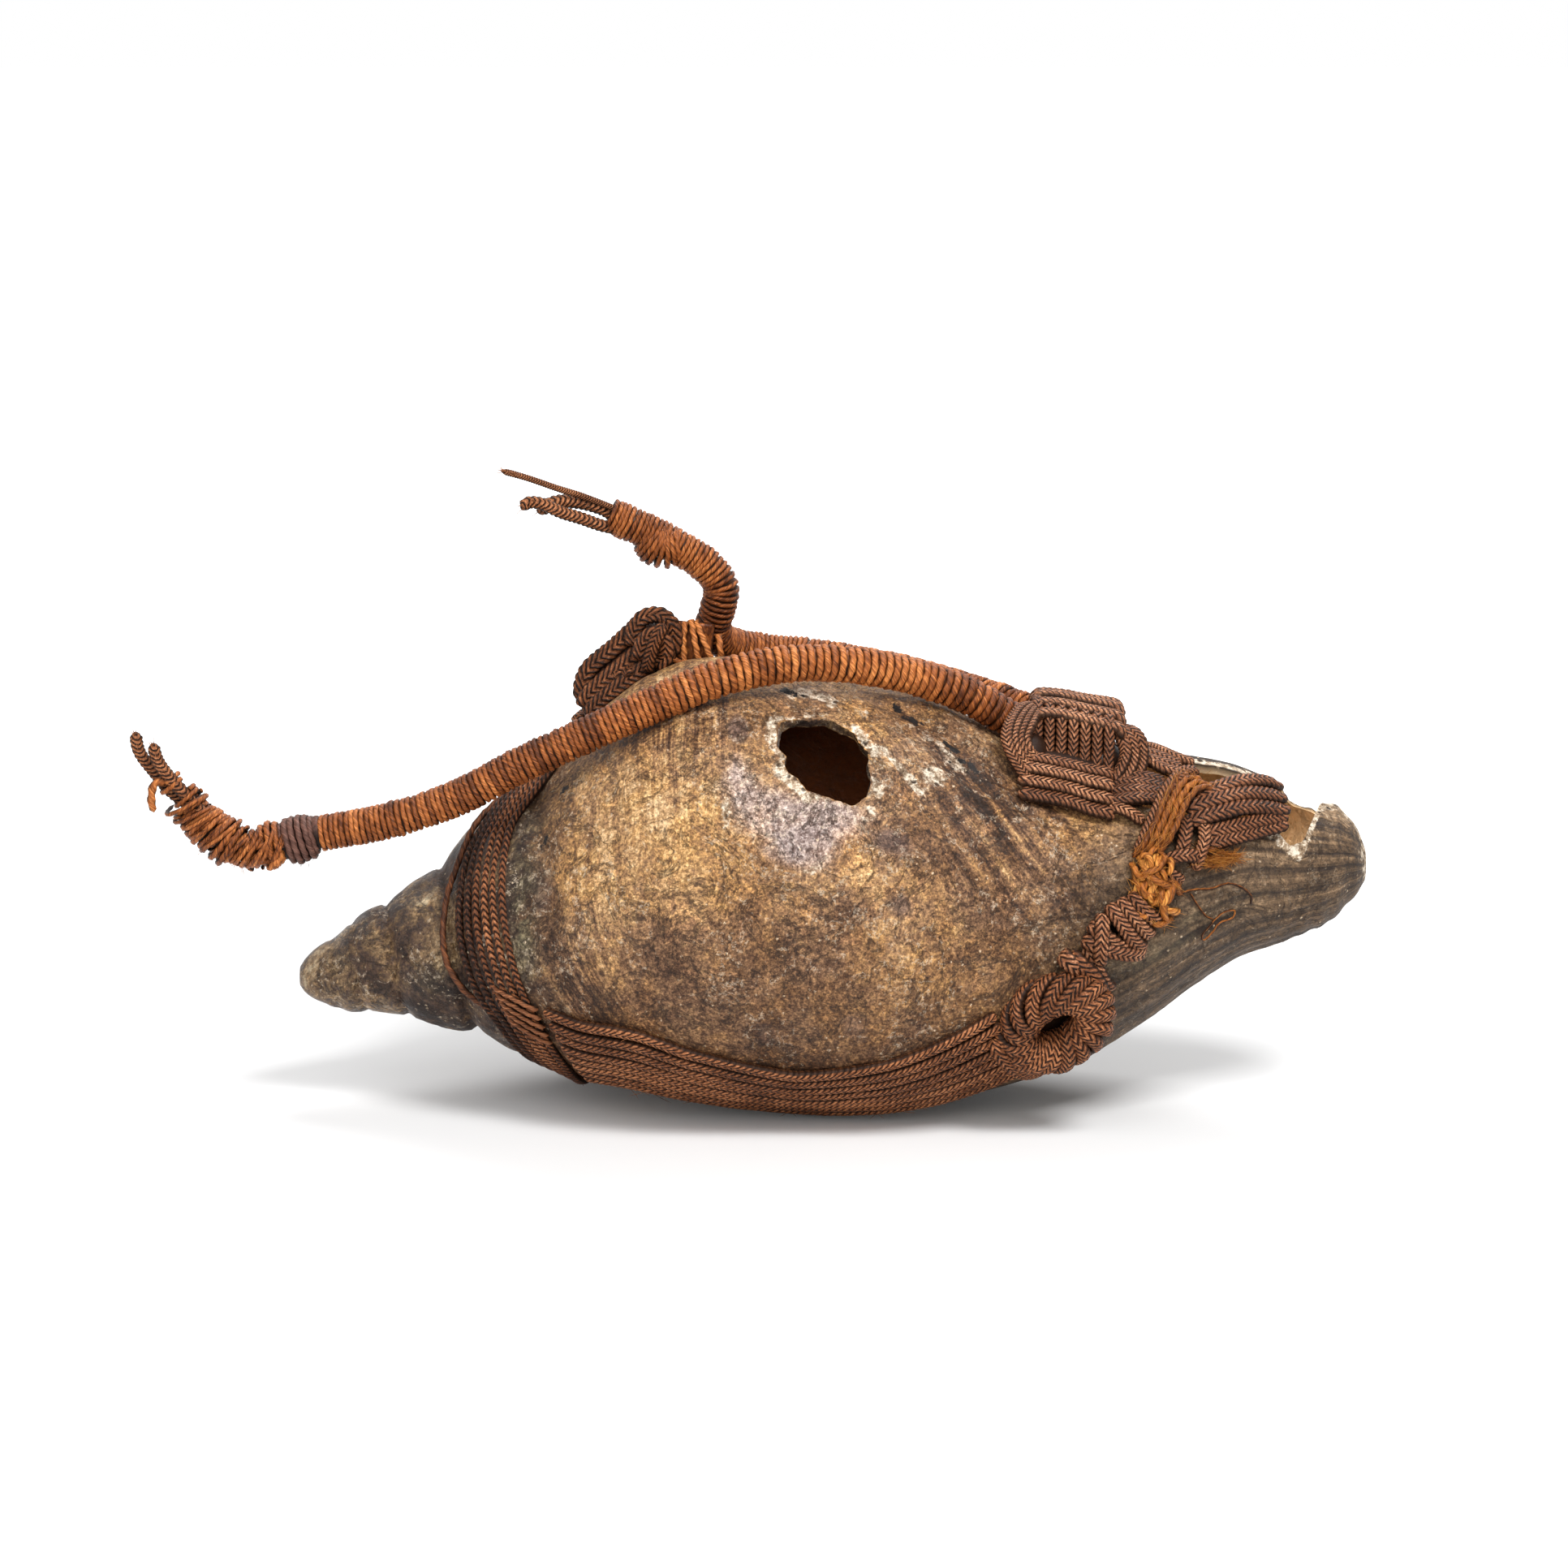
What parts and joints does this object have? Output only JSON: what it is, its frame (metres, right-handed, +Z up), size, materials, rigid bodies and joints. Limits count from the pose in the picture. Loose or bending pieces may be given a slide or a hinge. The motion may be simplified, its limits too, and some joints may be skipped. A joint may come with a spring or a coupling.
{
  "type": "triton shell trumpet",
  "caption": "Large triton shell trumpet with a side blow hole, bound with braided coir cord and knots, with both stumps of a broken wrapped rope handle",
  "frame": {"origin": "middle of the bound shell's box, on the surface that it rests on", "axes": "+X from the apex to the canal, along the shell; -Y is the side with the blow hole; +Z up"},
  "size_m": [0.4522, 0.1662, 0.2361],
  "materials": {
    "shell": "old worn shell, ochre and umber with pale lavender wear and chalky broken edges, satin",
    "dark_sennit": "dark red-brown braided coir cord, dry with a faint wax sheen",
    "brown_sennit": "mid-brown braided coir cord, paler on its crowns",
    "wrapped_rope": "orange-brown twine wound tightly round a cord core",
    "dark_whipping": "dark purple-brown twine whipping",
    "golden_coir": "loose golden coir fibre, frayed"
  },
  "bodies": {
    "root": {"shell": "shell", "spire_cord_1": "dark_sennit", "spire_cord_2": "dark_sennit", "spire_cord_3": "dark_sennit", "spire_cord_4": "dark_sennit", "spire_cord_5": "dark_sennit", "spire_cord_6": "dark_sennit", "spire_stray_cord": "dark_sennit", "belly_cord_1": "dark_sennit", "belly_cord_2": "dark_sennit", "belly_cord_3": "dark_sennit", "belly_cord_4": "dark_sennit", "belly_cord_5": "dark_sennit", "belly_cord_6": "dark_sennit", "belly_cord_7": "dark_sennit", "belly_cord_8": "dark_sennit", "handle_rope_front": "wrapped_rope", "handle_rope_rear": "wrapped_rope", "handle_front_ring": "dark_whipping", "handle_front_knot": "wrapped_rope", "handle_front_wraps": "wrapped_rope", "handle_front_tail_1": "dark_sennit", "handle_front_tail_2": "dark_sennit", "handle_rear_tail_1": "dark_sennit", "handle_rear_tail_2": "dark_sennit", "handle_rear_tail_3": "dark_sennit", "rear_knot": "dark_sennit", "rear_lashing": "wrapped_rope", "block_knot": "brown_sennit", "belly_knot": "dark_sennit", "belly_lashing_low": "brown_sennit", "belly_lashing_high": "brown_sennit", "coir_tie_knot": "golden_coir", "coir_tie_strap": "golden_coir", "lip_lashing_1": "brown_sennit", "lip_lashing_2": "brown_sennit", "lip_lashing_3": "brown_sennit", "lip_lashing_low_1": "brown_sennit", "lip_lashing_low_2": "brown_sennit", "lip_post_1": "brown_sennit", "fibre_tuft": "golden_coir", "loose_thread": "golden_coir"}
  },
  "joints": []
}
